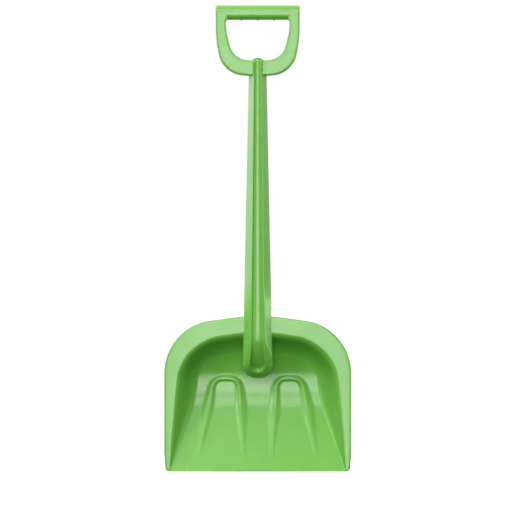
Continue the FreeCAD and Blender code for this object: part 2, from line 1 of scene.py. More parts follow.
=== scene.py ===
"""Looks of a moulded plastic snow shovel: blade, shaft, grip handle and their screws.

Sizes are in millimetres, across, back from the rim's front face, and up from the cutting edge.
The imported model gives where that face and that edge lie.
"""

import bmesh
import bpy
import numpy as np
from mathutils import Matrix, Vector


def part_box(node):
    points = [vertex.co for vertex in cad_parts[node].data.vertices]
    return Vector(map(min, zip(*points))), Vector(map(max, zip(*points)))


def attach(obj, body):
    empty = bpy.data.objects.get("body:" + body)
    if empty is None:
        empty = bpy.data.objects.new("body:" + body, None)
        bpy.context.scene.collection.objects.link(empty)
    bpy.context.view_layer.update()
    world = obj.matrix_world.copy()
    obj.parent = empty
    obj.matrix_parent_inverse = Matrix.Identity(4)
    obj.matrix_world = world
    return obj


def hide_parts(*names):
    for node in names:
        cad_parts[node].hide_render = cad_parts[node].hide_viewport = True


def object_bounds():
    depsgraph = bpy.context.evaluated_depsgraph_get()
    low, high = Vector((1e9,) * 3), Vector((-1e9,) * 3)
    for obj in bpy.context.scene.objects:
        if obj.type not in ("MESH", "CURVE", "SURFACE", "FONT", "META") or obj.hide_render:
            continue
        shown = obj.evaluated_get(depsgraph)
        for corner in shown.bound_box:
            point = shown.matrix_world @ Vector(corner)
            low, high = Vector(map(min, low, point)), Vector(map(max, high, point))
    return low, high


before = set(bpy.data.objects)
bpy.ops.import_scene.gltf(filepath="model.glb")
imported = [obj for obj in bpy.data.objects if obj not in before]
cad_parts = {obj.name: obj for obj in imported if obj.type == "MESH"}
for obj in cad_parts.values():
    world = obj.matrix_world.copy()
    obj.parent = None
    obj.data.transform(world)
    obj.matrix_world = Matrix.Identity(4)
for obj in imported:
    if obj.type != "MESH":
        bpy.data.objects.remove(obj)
CAD_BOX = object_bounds()

MM = 0.001
BLADE_LOW, BLADE_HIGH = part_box("blade")
SHAFT_LOW, SHAFT_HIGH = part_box("shaft")
HANDLE_LOW, HANDLE_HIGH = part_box("d_handle")
ORIGIN = np.array([0.0, BLADE_LOW.y, BLADE_LOW.z])


def above_edge(height):
    """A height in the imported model, in millimetres above the cutting edge."""
    return (height - BLADE_LOW.z) / MM


def behind_rim(depth):
    """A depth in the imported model, in millimetres behind the rim's front face."""
    return (depth - BLADE_LOW.y) / MM


# ---- sizes ----------------------------------------------------------------------------------

OVERALL_HEIGHT = above_edge(CAD_BOX[1].z)
HALF_BLADE = BLADE_HIGH.x / MM
BLADE_HEIGHT = 220.0
WALL = 2.6
CORNER_RADIUS = 6.0
SHOULDER_RADIUS = 75.0
CROWN_RADIUS = 300.0
CROWN_SLOPE = np.radians(8.0)
CROWN_PEAK = BLADE_HEIGHT + CROWN_RADIUS * (1 / np.cos(CROWN_SLOPE) - 1)
SIDE_TUCK = 1.6
TUCK_HEIGHT = 30.0
EDGE_ROUND = 2.3
LIP_DEPTH = 6.0
LIP_FROM = 11.0
LIP_RUN = 6.0
LIP_ROUND = 0.5

SIDE_FLANGE = 8.0
TOP_FLANGE = 28.6
MOUTH_LEAN = np.radians(5.6)
MOUTH_RADIUS = 52.0
WALL_DRAFT = np.radians(21.0)
FLOOR_SLOPE = np.radians(25.0)
FLOOR_RETURN = np.radians(20.0)
KNEE_RADIUS = 120.0
KNEE_START = 75.0
SIDE_EDGE_BLEND = 5.0
TOP_EDGE_BLEND = 11.0
TOP_EDGE_FROM = 120.0
TOP_EDGE_RUN = 60.0
EDGE_BLEND_FULL = 45.0
EDGE_BLEND_LEAST = 0.12
ROOT_BLEND = 24.0
ROOT_BLEND_LEAST = 0.8
ROOT_BLEND_SHARE = 0.6

BEAD_HEIGHT = 3.0
BEAD_START = 13.0
BEAD_FULL = 92.0
BEAD_TOP = 129.5
BEAD_BEND = 12.5
BEAD_CREST = 0.8
BEAD_OUTER_FLANK = 5.5
BEAD_INNER_FLANK = 2.8
BEAD_SWELL = 5.0
BEAD_SWELL_AT = 84.0
BEAD_SWELL_RUN = 28.0
BEAD_INNER_LEVEL = 0.3
BEAD_FADE = 0.9
OUTER_LEG = (84.5, 62.5)
INNER_LEG = (20.0, 27.5)

BOSS_HEIGHTS = (143.0, 163.0)
BOSS_RADIUS = 6.65
BOSS_ROOT = 38.0
BOSS_TIP = 44.5
SEAT_RADIUS = 4.05
SEAT_DEPTH = 2.6
BOSS_END = 50.5

SHAFT_FOOT = above_edge(SHAFT_LOW.z)
SHAFT_TOP = above_edge(SHAFT_HIGH.z)
SHAFT_FRONT = behind_rim(SHAFT_LOW.y)
SHAFT_BACK = behind_rim(HANDLE_HIGH.y)
SHAFT_HALF = (21.5, 12.1)
HEAD_HALF = 7.2
HEAD_CLEARANCE = 0.05
RIDGE_HALF = (10.0, 5.3)
RIDGE_SWELL = 1.4
RIDGE_SWELL_RUN = 40.0
RIDGE_ROUND = 2.4
NOSE_RIDGE = 14.6
NOSE_RUN = 66.0
NOSE_DEPTH = 42.0
NOSE_SQUARENESS = 2.3
NOSE_BLEND = 14.0
NOSE_BLEND_FROM = 192.0
NOSE_BLEND_RUN = 40.0
GROOVE_DEPTH = 3.5
GROOVE_END_DEPTH = 9.5
GROOVE_DEEPENS = 186.0
GROOVE_DEEPENS_RUN = 42.0
GROOVE_WALL = 1.8
GROOVE_END_WALL = 8.5
GROOVE_CROWN = 1.4
RIDGE_BRINK = 0.4
BRINK_REACH = 0.6
CREST_REACH = 1.6
RIM_CROSSING = (222.0, 292.0)
WIDEST_IN_SCOOP = 1.0
FOOT_GAP = 1.0
FOOT_SHALLOWEST = 15.5
SHOULDER_LAP = 4.0
HOLLOW_START = 191.1
HOLLOW_FRONT = -4.9
HOLLOW_ROUND = 1.6
RIM_ROUND = 0.6
EDGE_BREAK = 0.2
ARC_MIDDLE = 0.3
BASE_START = 0.85
STATION_GAP = 0.1

WEB_COUNT = 8
WEB_PITCH = 36.0
FIRST_WEB = 226.0
WEB_THICKNESS = 2.0
WEB_FRONT = HOLLOW_FRONT - 0.8
WEB_BACK = 6.5
WEB_INSET = 4.6
WEB_SPREAD = 3.1
WEB_MIDDLE_SHARE = 0.84
WEB_LEAN = 0.30

BAR_RADIUS = 10.25
BAR_END_ROUND = 2.2
BAR_SQUARENESS = 2.9
BAR_MIDDLE = OVERALL_HEIGHT - BAR_RADIUS
HANDLE_FRONT = behind_rim(HANDLE_LOW.y)
HANDLE_MIDDLE = (HANDLE_FRONT + SHAFT_BACK) / 2
HALF_HANDLE = HANDLE_HIGH.x / MM
BOW_LOW = OVERALL_HEIGHT - 101.5
BOW_HIGH = BOW_LOW + 22.0
ARM_WIDTH = 14.2
ARM_SQUARENESS = 9.0
HOLE_FILLET = 3.2
FILLET_SHARE = 0.8
FILLET_AT = 0.93
HUMP_RADIUS = 11.7
HUMP_RISE = 4.8
HUMP_BLEND = 1.2
FINGER_PITCH = 23.0
FINGER_HALF = 2.1
FINGER_RISE = 0.95
FINGER_REACH = 5.0
TONGUE_LOW = (-7.6, 3.9, BOW_LOW - 52)
TONGUE_HIGH = (7.6, 12.9, BOW_LOW + 11)
TONGUE_ROUND = 0.8

WELD = 0.004
SLIVER = 0.002
# How strongly edges that stand out are painted lighter, as rubbed wear and as a painted edge highlight.
WEAR_AND_HIGHLIGHT_GAIN = 5.0


# ---- small geometry helpers -----------------------------------------------------------------

def smooth_step(value):
    """0 up to 0 and 1 from 1 on, with an S-shaped rise between."""
    held = np.clip(value, 0.0, 1.0)
    return held * held * (3 - 2 * held)


def soft_min(one, other, blend):
    """The lesser of two values, rounded off over a blend where they cross."""
    near = np.maximum(blend - np.abs(one - other), 0) / blend
    return np.minimum(one, other) - near * near * blend / 4


def soft_max(one, other, blend):
    """The greater of two values, rounded off over a blend where they cross."""
    return -soft_min(-one, -other, blend)


def rounded(corners, arc_steps, run_steps):
    """Points along straight runs joined by arcs; a corner is (across, up, radius).

    The same steps on two lines give points that pair up one to one."""
    points = [np.array(corners[0][:2], float)]
    for index in range(1, len(corners)):
        corner = np.array(corners[index][:2], float)
        radius = corners[index][2]
        start = points[-1]
        if index + 1 == len(corners):
            ends = [corner]
        else:
            into = corner - np.array(corners[index - 1][:2], float)
            away = np.array(corners[index + 1][:2], float) - corner
            into /= np.linalg.norm(into)
            away /= np.linalg.norm(away)
            turn = np.arccos(np.clip(into @ away, -1, 1))
            reach = radius * np.tan(turn / 2)
            centre = corner - into * reach + (away - into * np.cos(turn)) / np.sin(turn) * radius
            spoke = corner - into * reach - centre
            ends = []
            for angle in np.linspace(0, turn, arc_steps[index] + 1):
                ends.append(centre + spoke * np.cos(angle) + into * radius * np.sin(angle))
        for step in range(1, run_steps[index] + 1):
            points.append(start + (ends[0] - start) * step / run_steps[index])
        points += ends[1:]
    return np.array(points)


def both_sides(right):
    """A closed line from its right half, which starts and ends on the middle."""
    left = right[-2:0:-1] * [-1, 1]
    return np.vstack([right, left])


def skin(name, grid):
    """A mesh over rows of points; each row closes on itself, and the end rows weld shut."""
    rows, columns = grid.shape[:2]
    faces = []
    for row in range(rows - 1):
        low, high = row * columns, (row + 1) * columns
        for column in range(columns):
            beside = (column + 1) % columns
            faces.append((low + column, low + beside, high + beside, high + column))
    mesh = bpy.data.meshes.new(name)
    mesh.from_pydata((grid.reshape(-1, 3) * MM + ORIGIN).tolist(), [], faces)
    return mesh


def block(low, high, bevel):
    """A closed box with rounded edges."""
    made = bmesh.new()
    bmesh.ops.create_cube(made, size=1.0)
    low, high = np.array(low, float), np.array(high, float)
    for vertex in made.verts:
        vertex.co = Vector(((low + high) / 2 + np.array(vertex.co) * (high - low)) * MM + ORIGIN)
    bmesh.ops.bevel(made, geom=made.edges, offset=bevel * MM, segments=3, affect="EDGES", profile=0.5)
    mesh = bpy.data.meshes.new("block")
    made.to_mesh(mesh)
    made.free()
    return mesh


def turned(profile, up, steps=48):
    """A closed shape turned about a line that runs back at a height; its profile is (radius, depth)."""
    turns = np.linspace(0, 2 * np.pi, steps, endpoint=False)
    rows = []
    for radius, depth in profile:
        across, height = radius * np.cos(turns), up + radius * np.sin(turns)
        rows.append(np.column_stack([across, np.full(steps, depth), height]))
    return skin("turned", np.array(rows))


def squared(value, squareness):
    """A sine or cosine pushed outwards, so that a circle comes nearer to a square."""
    return np.sign(value) * np.abs(value) ** (2 / squareness)


def finished(name, meshes, material):
    """A piece of the shovel: each shell welded with its faces outwards, then joined and smooth."""
    whole = bpy.data.meshes.new(name)
    joined = bmesh.new()
    for mesh in meshes:
        shell = bmesh.new()
        shell.from_mesh(mesh)
        bmesh.ops.remove_doubles(shell, verts=shell.verts, dist=WELD * MM)
        bmesh.ops.dissolve_degenerate(shell, edges=shell.edges, dist=SLIVER * MM)
        bmesh.ops.recalc_face_normals(shell, faces=shell.faces)
        shell.to_mesh(mesh)
        shell.free()
        joined.from_mesh(mesh)
        bpy.data.meshes.remove(mesh)
    joined.to_mesh(whole)
    joined.free()
    whole.polygons.foreach_set("use_smooth", [True] * len(whole.polygons))
    # Marks edges that stand out, which the plastic paints lighter as rubbed wear and as a painted edge
    # highlight.
    mark_wear_and_highlight_edges(whole)
    whole.materials.append(material)
    piece = bpy.data.objects.new(name, whole)
    bpy.context.scene.collection.objects.link(piece)
    return piece


def mark_wear_and_highlight_edges(mesh):
    """Stores how far each point stands out from its neighbours, from 0 to 1; the plastic paints such edges
    lighter, partly as rubbed wear and partly as a painted edge highlight.
    """
    count = len(mesh.vertices)

    def read(items, name, width, kind=float):
        values = np.zeros(len(items) * width, kind)
        items.foreach_get(name, values)
        return values.reshape(-1, width)

    places = read(mesh.vertices, "co", 3)
    normals = read(mesh.vertex_normals, "vector", 3)
    ends = read(mesh.edges, "vertices", 2, int)
    along = places[ends[:, 1]] - places[ends[:, 0]]
    length = np.maximum(np.linalg.norm(along, axis=1), 1e-7)
    bend, share = np.zeros(count), np.zeros(count)
    for here, way in ((0, -1), (1, 1)):
        lean = way * np.einsum("ij,ij->i", normals[ends[:, here]], along) / (length * length)
        np.add.at(bend, ends[:, here], lean)
        np.add.at(share, ends[:, here], 1)
    curve = bend / np.maximum(share, 1) * MM
    layer = mesh.attributes.new("standing_out", "FLOAT", "POINT")
    layer.data.foreach_set("value", np.clip(curve * WEAR_AND_HIGHLIGHT_GAIN, 0, 1))


# ---- shader building ------------------------------------------------------------------------

class Field:
    """A number that varies over the surface; an operator adds its Math node."""

    def __init__(self, finish, socket):
        self.finish = finish
        self.socket = socket

    def math(self, operation, *values):
        return self.finish.node("Math", {"operation": operation}, dict(enumerate(values)))

    def __add__(self, other):
        return self.math("ADD", self, other)

    __radd__ = __add__

    def __mul__(self, other):
        return self.math("MULTIPLY", self, other)

    __rmul__ = __mul__

    def __sub__(self, other):
        return self.math("SUBTRACT", self, other)

    def __rsub__(self, other):
        return self.math("SUBTRACT", other, self)


class Finish:
    """The node tree of a material or of the room, with one method that adds any node."""

    def __init__(self, owner):
        self.owner = owner
        owner.use_nodes = True
        self.tree = owner.node_tree
        self.tree.nodes.clear()

    def node(self, kind, settings=None, inputs=None, output=0):
        made = self.tree.nodes.new("ShaderNode" + kind)
        for name, setting in (settings or {}).items():
            setattr(made, name, setting)
        for name, given in (inputs or {}).items():
            if isinstance(given, Field):
                self.tree.links.new(given.socket, made.inputs[name])
            else:
                made.inputs[name].default_value = given
        return Field(self, made.outputs[output]) if len(made.outputs) else made

    def along(self, vector, axis):
        """One part of a vector: 0 across, 1 back, 2 up."""
        return self.node("SeparateXYZ", inputs={0: vector}, output=axis)

    def place(self, scale=(1, 1, 1)):
        """Object coordinates, stretched by a scale on each axis."""
        where = self.node("TexCoord", output="Object")
        return self.node("Mapping", inputs={"Vector": where, "Scale": scale})

    def noise(self, scale, detail=3.0, roughness=0.5, stretch=(1, 1, 1)):
        return self.node("TexNoise", {"noise_dimensions": "3D"}, {
            "Vector": self.place(stretch), "Scale": scale, "Detail": detail, "Roughness": roughness})

    def rising(self, value, start, end):
        """0 before start and 1 after end, with a smooth rise between."""
        return self.node("MapRange", {"clamp": True, "interpolation_type": "SMOOTHSTEP"}, {
            "Value": value, "From Min": start, "From Max": end, "To Min": 0.0, "To Max": 1.0})

    def blend(self, share, first, second):
        """The first colour where share is 0 and the second where it is 1."""
        return self.node("Mix", {"data_type": "RGBA"}, {"Factor": share, 6: first, 7: second}, output=2)


def green_plastic():
    """Glossy moulded polypropylene: faint flow marks, fine grain, scuffs where it wears, and edges that stand
    out painted lighter, partly as wear and partly as a painted edge highlight.
    """
    look = Finish(bpy.data.materials.new("green_plastic"))
    leaf = (0.158, 0.480, 0.060, 1)
    pale_leaf = (0.179, 0.512, 0.072, 1)
    deep_leaf = (0.135, 0.470, 0.043, 1)
    # Lighter green for edges that stand out: partly rubbed wear, partly a painted edge highlight.
    rubbed_highlight_green = (0.33, 0.66, 0.19, 1)
    scuffed_green = (0.40, 0.68, 0.27, 1)
    scuffs_low = ORIGIN[2] + 0.001
    scuffs_high = ORIGIN[2] + 0.016
    flow = look.noise(9.0, detail=2.0, stretch=(1.0, 1.0, 0.35))
    cloud = look.noise(38.0, detail=3.0)
    grain = look.noise(2600.0, detail=2.0, roughness=0.6)
    ripple = look.noise(70.0, detail=1.0)
    scratch = look.noise(420.0, detail=2.0, roughness=0.7, stretch=(1.0, 1.0, 0.05))
    standing_out = look.node("Attribute", {"attribute_name": "standing_out"}, output=2)

    near_edge = 1 - look.rising(look.along(look.place(), 2), scuffs_low, scuffs_high)
    scuffed = look.rising(scratch + near_edge * 0.12, 0.66, 0.8) * near_edge
    # Edges that stand out are painted lighter and made rougher: partly rubbed wear, partly a painted edge
    # highlight.
    rubbed_and_highlit = look.rising(standing_out + cloud * 0.35, 0.45, 1.2)

    body = look.blend(look.rising(flow, 0.3, 0.7), leaf, pale_leaf)
    body = look.blend(look.rising(cloud, 0.35, 0.7) * 0.35, body, deep_leaf)
    body = look.blend(rubbed_and_highlit * 0.35, body, rubbed_highlight_green)
    body = look.blend(scuffed * 0.12, body, scuffed_green)
    rough = 0.19 + 0.05 * cloud + 0.10 * rubbed_and_highlit + 0.22 * scuffed
    relief = grain * 0.5 + ripple * 0.6 - scuffed * 0.6
    bump = look.node("Bump", inputs={"Strength": 0.10, "Distance": 0.0004, "Height": relief})
    shader = look.node("BsdfPrincipled", inputs={
        "Base Color": body, "Roughness": rough, "Normal": bump, "IOR": 1.49})
    look.node("OutputMaterial", inputs={"Surface": shader})
    return look.owner


def zinc_steel():
    """Zinc-plated screws: fine turning lines and a little tarnish."""
    look = Finish(bpy.data.materials.new("zinc_steel"))
    bright_zinc = (0.62, 0.63, 0.62, 1)
    dull_zinc = (0.47, 0.46, 0.42, 1)
    lines = look.noise(900.0, detail=2.0, stretch=(1.0, 0.15, 1.0))
    tarnish = look.noise(260.0, detail=3.0)
    colour = look.blend(look.rising(tarnish, 0.4, 0.7), bright_zinc, dull_zinc)
    rough = 0.24 + 0.16 * tarnish + 0.08 * lines
    bump = look.node("Bump", inputs={"Strength": 0.15, "Distance": 0.0002, "Height": lines})
    shader = look.node("BsdfPrincipled", inputs={
        "Base Color": colour, "Roughness": rough, "Metallic": 1.0, "Normal": bump})
    look.node("OutputMaterial", inputs={"Surface": shader})
    return look.owner


def pale_floor():
    """A pale floor that glows a little, so that only soft contact shadows show on it."""
    look = Finish(bpy.data.materials.new("pale_floor"))
    colour = look.blend(look.noise(2.0), (0.42, 0.42, 0.42, 1), (0.44, 0.44, 0.44, 1))
    shader = look.node("BsdfPrincipled", inputs={
        "Base Color": colour, "Roughness": 0.9, "Emission Color": (1, 1, 1, 1), "Emission Strength": 0.82})
    look.node("OutputMaterial", inputs={"Surface": shader})
    return look.owner


# ---- blade ----------------------------------------------------------------------------------

def floor_depth(up):
    """How far the floor lies behind the rim: a straight slope, a wide knee, a steep return."""
    knee_end = KNEE_START + KNEE_RADIUS * (np.sin(FLOOR_SLOPE) + np.sin(FLOOR_RETURN))
    lean = np.clip(np.sin(FLOOR_SLOPE) - (up - KNEE_START) / KNEE_RADIUS,
                   -np.sin(FLOOR_RETURN), np.sin(FLOOR_SLOPE))
    knee = KNEE_RADIUS * (np.sqrt(1 - lean * lean) - np.cos(FLOOR_SLOPE))
    return (np.tan(FLOOR_SLOPE) * np.minimum(up, KNEE_START) + knee
            - np.tan(FLOOR_RETURN) * np.maximum(up - knee_end, 0))


def mouth_inset(across, up):
    """How far a place lies inside the scoop's mouth; less than nothing on the flange."""
    across = np.abs(across)
    side = (HALF_BLADE - SIDE_FLANGE - across) * np.cos(MOUTH_LEAN) - up * np.sin(MOUTH_LEAN)
    top = (CROWN_PEAK - TOP_FLANGE - up) * np.cos(CROWN_SLOPE) - across * np.sin(CROWN_SLOPE)
    corner = MOUTH_RADIUS - np.hypot(np.maximum(MOUTH_RADIUS - side, 0),
                                     np.maximum(MOUTH_RADIUS - top, 0))
    return np.where(np.minimum(side, top) > MOUTH_RADIUS, np.minimum(side, top), corner)


def plain_depth(across, up):
    """How far the scoop lies behind the rim, without its beads."""
    floor_here = floor_depth(up)
    wall_here = mouth_inset(across, up) / np.tan(WALL_DRAFT)
    root = np.clip(ROOT_BLEND_SHARE * floor_here, ROOT_BLEND_LEAST, ROOT_BLEND)
    scoop = soft_min(wall_here, floor_here, root)
    edge = SIDE_EDGE_BLEND + (TOP_EDGE_BLEND - SIDE_EDGE_BLEND) * smooth_step(
        (up - TOP_EDGE_FROM) / TOP_EDGE_RUN)
    edge = edge * np.clip(up / EDGE_BLEND_FULL, EDGE_BLEND_LEAST, 1)
    return soft_max(scoop, np.zeros_like(scoop), edge)


def bead_rise(across, up):
    """Height of the two inverted-U beads, which die away towards the cutting edge."""
    across = np.abs(across)
    way = (up - BEAD_START) / (BEAD_TOP - BEAD_START)
    outer = across - (OUTER_LEG[0] + (OUTER_LEG[1] - OUTER_LEG[0]) * way)
    inner = INNER_LEG[0] + (INNER_LEG[1] - INNER_LEG[0]) * way - across
    reaches = [np.maximum(side + BEAD_BEND, 0) for side in (outer, inner, up - BEAD_TOP)]
    off = np.sqrt(sum(reach * reach for reach in reaches)) - BEAD_BEND
    fade = np.clip((up - BEAD_START) / (BEAD_FULL - BEAD_START), 0, 1)
    swell = BEAD_SWELL * np.exp(-((up - BEAD_SWELL_AT) / BEAD_SWELL_RUN) ** 2)
    outside = smooth_step(1 - (off - BEAD_CREST) / (BEAD_OUTER_FLANK + swell))
    inside = smooth_step(1 + (off + BEAD_CREST) / (BEAD_INNER_FLANK + swell))
    inside = BEAD_INNER_LEVEL * fade + (1 - BEAD_INNER_LEVEL * fade) * inside
    return BEAD_HEIGHT * smooth_step(fade) ** BEAD_FADE * np.where(off > 0, outside, inside)


def scoop_front(across, up):
    """How far the scoop's front face lies behind the rim, beads and all."""
    return plain_depth(across, up) - bead_rise(across, up)


def blade_line(half, low, peak, corner, shoulder):
    """Half the blade's outline, or a line inside it, from the cutting edge to the crown."""
    knee = peak - half * np.tan(CROWN_SLOPE)
    crown_steps = 32
    past_middle = crown_steps // 2 + 1
    line = rounded(
        [(0, low, 0), (half, low, corner), (half, knee, shoulder), (0, peak, CROWN_RADIUS), (-half, knee, 0)],
        {1: 10, 2: 70, 3: crown_steps}, {1: 84, 2: 76, 3: 28, 4: 1})[:-past_middle]
    line[-1, 0] = 0
    return line


def tucked(line):
    """The outline with its sides drawn in a little towards the cutting edge."""
    tuck = SIDE_TUCK * (1 - smooth_step(line[:, 1] / TUCK_HEIGHT))
    line[:, 0] -= tuck * line[:, 0] / HALF_BLADE
    return line


def blade_lines():
    """Half lines of the rim, the mouth, the floor's outer part and the floor's middle, paired up."""
    rim = tucked(blade_line(HALF_BLADE, 0, CROWN_PEAK, CORNER_RADIUS, SHOULDER_RADIUS))
    mouth = blade_line(half=HALF_BLADE - SIDE_FLANGE - 4, low=4, peak=CROWN_PEAK - TOP_FLANGE,
                       corner=3, shoulder=60)
    mouth[:, 0] -= np.tan(MOUTH_LEAN) * mouth[:, 1] * mouth[:, 0] / HALF_BLADE
    root = blade_line(half=106, low=9, peak=182, corner=3, shoulder=42)
    middle_low, middle_high = 26, 168
    middle = np.column_stack([np.zeros(len(rim)), np.linspace(middle_low, middle_high, len(rim))])
    return rim, mouth, root, middle


def shares(steps):
    """Even steps from 1 down towards 0, without the 0."""
    return np.linspace(1, 0, steps)[:-1]


def scoop_face(rim, mouth, root, middle, inward):
    """Rows of points from the floor's middle out to the rim, and round its front edge."""
    flange_start = rim + inward * EDGE_ROUND
    plans = [root + (middle - root) * share for share in shares(74)]
    plans += [mouth + (root - mouth) * share for share in shares(31)]
    plans += [flange_start + (mouth - flange_start) * share for share in np.linspace(1, 0, 12)]
    rows = []
    for plan in map(both_sides, plans):
        rows.append(np.column_stack([plan[:, 0], scoop_front(plan[:, 0], plan[:, 1]), plan[:, 1]]))
    for turn in np.linspace(0, np.pi / 2, 7)[1:]:
        plan = both_sides(rim + inward * EDGE_ROUND * (1 - np.sin(turn)))
        drop = EDGE_ROUND * (1 - np.cos(turn))
        rows.append(np.column_stack([plan[:, 0], np.full(len(plan), drop), plan[:, 1]]))
    return rows


def folded_lip(rim, inward):
    """Rows round the lip that is folded back from the rim, which fades out near the cutting edge."""
    lip = WALL + (LIP_DEPTH - WALL) * smooth_step((rim[:, 1] - LIP_FROM) / LIP_RUN)
    inner_round = 0.8 * LIP_ROUND
    rows = []
    for inset, depth in ((0, lip - LIP_ROUND), (LIP_ROUND, lip), (WALL - inner_round, lip),
                         (WALL, lip - inner_round), (WALL + EDGE_BREAK, np.full(len(rim), WALL))):
        plan = both_sides(rim + inward * inset)
        deep = np.concatenate([depth, depth[-2:0:-1]])
        rows.append(np.column_stack([plan[:, 0], deep, plan[:, 1]]))
    return rows


def scoop_back(rim, mouth, root, middle, inward):
    """Rows over the back, one wall thickness behind the front without its beads."""
    start = rim + inward * (WALL + 4 * EDGE_BREAK)
    plans = [start + (mouth - start) * share for share in np.linspace(0, 1, 6)]
    plans += [mouth + (root - mouth) * share for share in np.linspace(0, 1, 15)[1:]]
    plans += [root + (middle - root) * share for share in np.linspace(0, 1, 20)[1:]]
    step = 0.05
    rows = []
    for across, up in (both_sides(plan).T for plan in plans):
        slope_across = (plain_depth(across + step, up) - plain_depth(across - step, up)) / (2 * step)
        slope_up = (plain_depth(across, up + step) - plain_depth(across, up - step)) / (2 * step)
        scale = WALL / np.sqrt(1 + slope_across ** 2 + slope_up ** 2)
        rows.append(np.column_stack([
            across - slope_across * scale, plain_depth(across, up) + scale,
            np.maximum(up - slope_up * scale, 0)]))
    return rows


def blade(material):
    """The scoop with its rim, and two bosses behind it that the screws' heads sit in."""
    rim, mouth, root, middle = blade_lines()
    reach = np.linalg.norm(mouth - rim, axis=1)[:, None]
    inward = (mouth - rim) / np.maximum(reach, 1e-6)
    rows = scoop_face(rim, mouth, root, middle, inward)
    rows += folded_lip(rim, inward)
    rows += scoop_back(rim, mouth, root, middle, inward)
    seat = BOSS_END - SEAT_DEPTH
    boss = [(0, BOSS_TIP), (BOSS_RADIUS, BOSS_ROOT), (BOSS_RADIUS, BOSS_END - RIM_ROUND),
            (BOSS_RADIUS - RIM_ROUND / 3, BOSS_END - RIM_ROUND / 3), (BOSS_RADIUS - RIM_ROUND, BOSS_END),
            (SEAT_RADIUS + RIM_ROUND / 2, BOSS_END), (SEAT_RADIUS, BOSS_END - RIM_ROUND / 2),
            (SEAT_RADIUS, seat), (0, seat)]
    bosses = [turned(boss, up) for up in BOSS_HEIGHTS]
    return finished("scoop_blade", [skin("scoop", np.array(rows))] + bosses, material)


# ---- shaft ----------------------------------------------------------------------------------

def taper(ends, up):
    """A half width that tapers evenly from the shaft's foot to its top."""
    return ends[0] + (ends[1] - ends[0]) * (up - SHAFT_FOOT) / (SHAFT_TOP - SHAFT_FOOT)


def ridge_depth(up):
    """The ridges' front: straight, then a quarter turn back into the scoop at the nose."""
    way = np.clip((SHAFT_FOOT + NOSE_RUN - up) / NOSE_RUN, 0, 1) ** NOSE_SQUARENESS
    return SHAFT_FRONT + (NOSE_DEPTH - SHAFT_FRONT) * (1 - (1 - way) ** (1 / NOSE_SQUARENESS))


def groove_depth(up):
    """The groove between the ridges, which deepens towards its end in the nose."""
    deeper = smooth_step((GROOVE_DEEPENS - up) / GROOVE_DEEPENS_RUN)
    return GROOVE_DEPTH + (GROOVE_END_DEPTH - GROOVE_DEPTH) * deeper


def shaft_stations():
    """Places along the shaft's half outline: (middle, across, along, ridge, half, back, hollow).

    Across and along give the way that a section points: sideways on the shaft's length, and
    round a fan at its nose and at its head. A back of None follows the scoop's floor."""
    nose_pole = SHAFT_FOOT + SHAFT_HALF[0]
    shoulder = BOW_LOW + SHOULDER_LAP
    head_pole = SHAFT_TOP - HEAD_HALF
    head_back = HANDLE_FRONT - HEAD_CLEARANCE
    stations = []
    for angle in np.linspace(0, np.pi / 2, 29)[:-1]:
        ridge = taper(RIDGE_HALF, nose_pole) + RIDGE_SWELL
        ridge += (NOSE_RIDGE - ridge) * np.cos(angle) ** 2
        stations.append((nose_pole, np.sin(angle), -np.cos(angle), ridge, SHAFT_HALF[0], None, False))
    for up in np.linspace(nose_pole, HOLLOW_START - STATION_GAP, 20):
        swell = RIDGE_SWELL * (1 - smooth_step((up - nose_pole) / RIDGE_SWELL_RUN))
        stations.append((up, 1, 0, taper(RIDGE_HALF, up) + swell, taper(SHAFT_HALF, up), None, False))
    for up in np.linspace(HOLLOW_START, shoulder, 110):
        stations.append((up, 1, 0, taper(RIDGE_HALF, up), taper(SHAFT_HALF, up), SHAFT_BACK, True))
    for up in np.linspace(shoulder + STATION_GAP, head_pole, 8):
        stations.append((up, 1, 0, taper(RIDGE_HALF, up), HEAD_HALF, head_back, False))
    for angle in np.linspace(np.pi / 2, 0, 17)[1:]:
        stations.append((head_pole, np.sin(angle), np.cos(angle), taper(RIDGE_HALF, head_pole),
                         HEAD_HALF, head_back, False))
    return stations


def section_front(reach, middle, across, along, ridge, slope, in_nose):
    """Depth of the ridge, the groove beside it and the slanted side, at each reach from the middle."""
    up = middle + along * reach
    softer = smooth_step((NOSE_BLEND_FROM - up) / NOSE_BLEND_RUN)
    blend = RIDGE_ROUND + (NOSE_BLEND - RIDGE_ROUND) * softer
    front = soft_max(ridge_depth(up), SHAFT_FRONT + (reach - ridge) * slope, blend)
    beside = reach if in_nose else across * reach
    groove = smooth_step((ridge - RIDGE_BRINK - beside) / groove_wall(along, in_nose))
    crown = GROOVE_CROWN * (1 - (beside / ridge) ** 2) * groove
    return front + groove_depth(up) * groove - crown


def groove_wall(along, in_nose):
    """Width of the groove's wall, which is wider where the groove ends in the nose."""
    return GROOVE_WALL + (GROOVE_END_WALL - GROOVE_WALL) * (along * along if in_nose else 0)


def section_reach(ridge, wall, half):
    """Distances from the middle, closer together where the groove's wall and the ridge are."""
    wall_foot = ridge - wall - BRINK_REACH
    ridge_end = ridge + CREST_REACH
    return np.concatenate([np.linspace(0, wall_foot, 10), np.linspace(wall_foot, ridge_end, 22)[1:],
                           np.linspace(ridge_end, half, 16)[1:]])


def open_back(half, slope, widest_at, last):
    """Points round the thin wall of the hollow stretch and along the hollow's front."""
    inner = half - WALL
    corner = inner - (widest_at - HOLLOW_FRONT) / slope
    return [(inner + RIM_ROUND, last), (inner + RIM_ROUND * ARC_MIDDLE, last - RIM_ROUND * ARC_MIDDLE),
            (inner, last - RIM_ROUND), (corner + RIM_ROUND, HOLLOW_FRONT + HOLLOW_ROUND),
            (corner - HOLLOW_ROUND / 4, HOLLOW_FRONT + HOLLOW_ROUND / 4),
            (corner - HOLLOW_ROUND, HOLLOW_FRONT), (0, HOLLOW_FRONT)]


